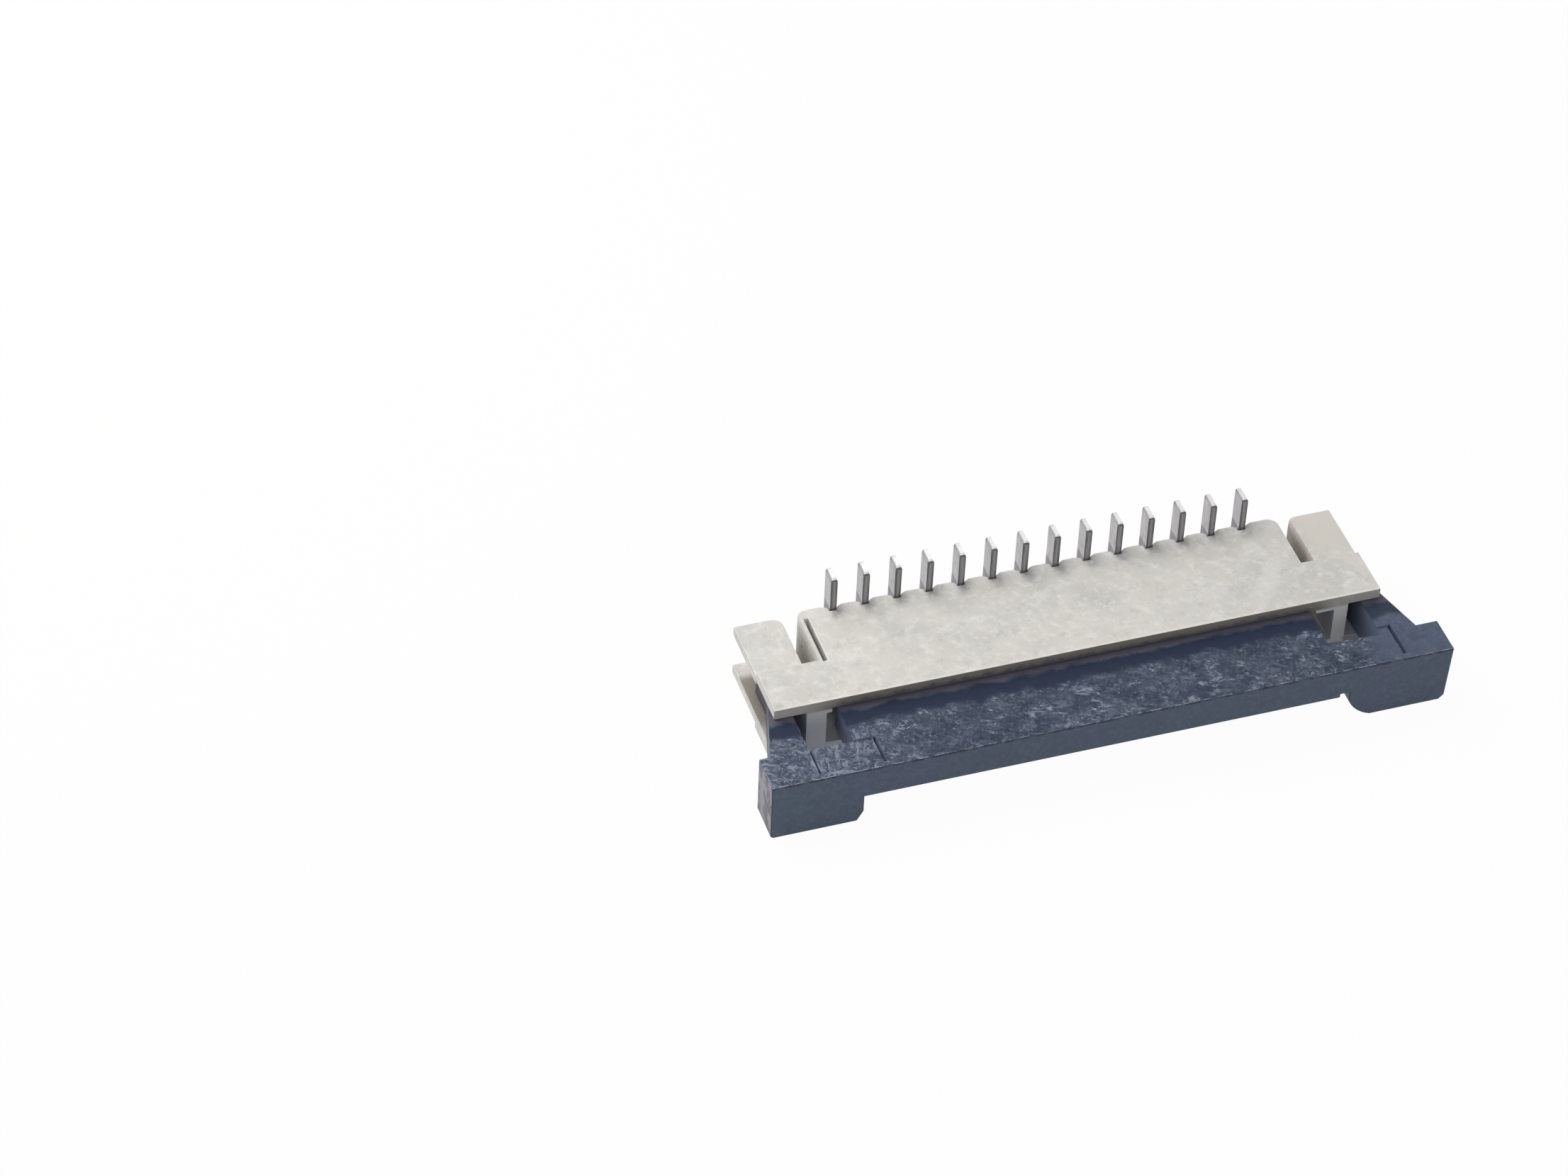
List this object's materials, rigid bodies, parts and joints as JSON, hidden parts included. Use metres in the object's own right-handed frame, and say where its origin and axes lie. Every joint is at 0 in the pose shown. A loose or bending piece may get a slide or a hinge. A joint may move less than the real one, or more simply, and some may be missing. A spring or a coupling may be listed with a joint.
{
  "type": "fpc connector",
  "caption": "Right-angle connector for a flat flexible cable, with a slider lock drawn open and a row of solder tails standing up from its rear edge.",
  "frame": {"origin": "on the floor, in the plane of the housing's front face, under the middle of the contact row", "axes": "+X along the contact row, +Y from the cable mouth to the tails, +Z from the rest face to the board-side face"},
  "size_m": [0.0212, 0.0069, 0.0036],
  "materials": {
    "housing": "natural cream thermoplastic, as moulded",
    "slider": "dark blue-grey glass-filled thermoplastic, as moulded",
    "contacts": "copper alloy under a satin tin plate, so silver to look at"
  },
  "bodies": {
    "housing_body": {"housing": "housing", "contact_01": "contacts", "contact_02": "contacts", "contact_03": "contacts", "contact_04": "contacts", "contact_05": "contacts", "contact_06": "contacts", "contact_07": "contacts", "contact_08": "contacts", "contact_09": "contacts", "contact_10": "contacts", "contact_11": "contacts", "contact_12": "contacts", "contact_13": "contacts", "contact_14": "contacts"},
    "slider_body": {"slider": "slider"}
  },
  "joints": [
    {"name": "slider_slide", "type": "slide", "parent": "housing_body", "child": "slider_body", "axis": [0, 1, 0], "range_m": [0, 0.00132]}
  ]
}
